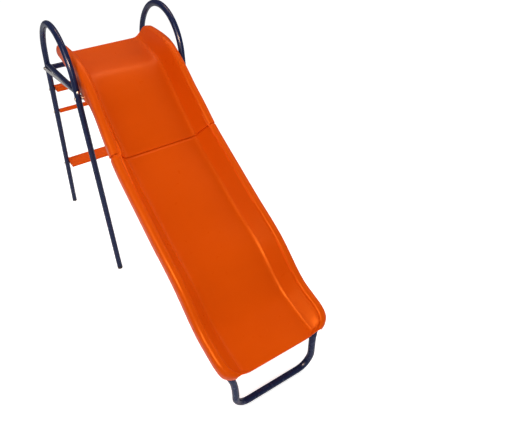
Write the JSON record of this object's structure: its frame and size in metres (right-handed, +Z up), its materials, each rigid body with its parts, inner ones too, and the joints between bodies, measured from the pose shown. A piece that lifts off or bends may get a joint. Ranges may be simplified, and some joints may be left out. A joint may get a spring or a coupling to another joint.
{
  "type": "garden slide",
  "caption": "free-standing wave slide with a two-piece moulded chute, bent tube handrail hoops, ladder steps and a looped foot",
  "frame": {"origin": "on the ground plane, on the centre plane, under the middle of the slide's overall length", "axes": "+Z up, -Y down the chute towards the foot loop, +Y towards the ladder side, +X to the right of someone facing along +Y"},
  "size_m": [0.5118, 1.583, 1.0578],
  "materials": {
    "orange_plastic": "satin moulded polyethylene",
    "navy_paint": "semi-gloss powder coat on steel tube",
    "zinc_steel": "zinc plated",
    "black_plastic": "matte moulded"
  },
  "bodies": {
    "root": {"cross_tube_left_bolt": "zinc_steel", "cross_tube_left_nut": "zinc_steel", "cross_tube_right_bolt": "zinc_steel", "cross_tube_right_nut": "zinc_steel", "foot_loop": "navy_paint", "foot_plug_front_left": "black_plastic", "foot_plug_front_right": "black_plastic", "foot_plug_rear_left": "black_plastic", "foot_plug_rear_right": "black_plastic", "handrail_hoop_left": "navy_paint", "handrail_hoop_right": "navy_paint", "ladder_step_lower": "orange_plastic", "ladder_step_middle": "orange_plastic", "ladder_step_upper": "orange_plastic", "leg_front_left": "navy_paint", "leg_front_right": "navy_paint", "leg_rear_left": "navy_paint", "leg_rear_right": "navy_paint", "platform_cross_tube": "navy_paint", "platform_side_bar_left": "navy_paint", "platform_side_bar_right": "navy_paint", "platform_strap_left": "zinc_steel", "platform_strap_right": "zinc_steel", "rail_screw_lower_left": "zinc_steel", "rail_screw_lower_right": "zinc_steel", "rail_screw_middle_left": "zinc_steel", "rail_screw_middle_right": "zinc_steel", "rail_screw_upper_left": "zinc_steel", "rail_screw_upper_right": "zinc_steel", "side_bar_bolt_front_left": "zinc_steel", "side_bar_bolt_front_right": "zinc_steel", "side_bar_bolt_rear_left": "zinc_steel", "side_bar_bolt_rear_right": "zinc_steel", "side_rail_left": "navy_paint", "side_rail_right": "navy_paint", "slide_lower": "orange_plastic", "slide_upper": "orange_plastic", "step_lower_left_bolt": "zinc_steel", "step_lower_left_nut": "zinc_steel", "step_lower_right_bolt": "zinc_steel", "step_lower_right_nut": "zinc_steel", "step_middle_left_bolt": "zinc_steel", "step_middle_left_nut": "zinc_steel", "step_middle_right_bolt": "zinc_steel", "step_middle_right_nut": "zinc_steel", "step_upper_left_bolt": "zinc_steel", "step_upper_left_nut": "zinc_steel", "step_upper_right_bolt": "zinc_steel", "step_upper_right_nut": "zinc_steel", "wing_left_bolt": "zinc_steel", "wing_left_nut": "zinc_steel", "wing_right_bolt": "zinc_steel", "wing_right_nut": "zinc_steel"}
  },
  "joints": []
}
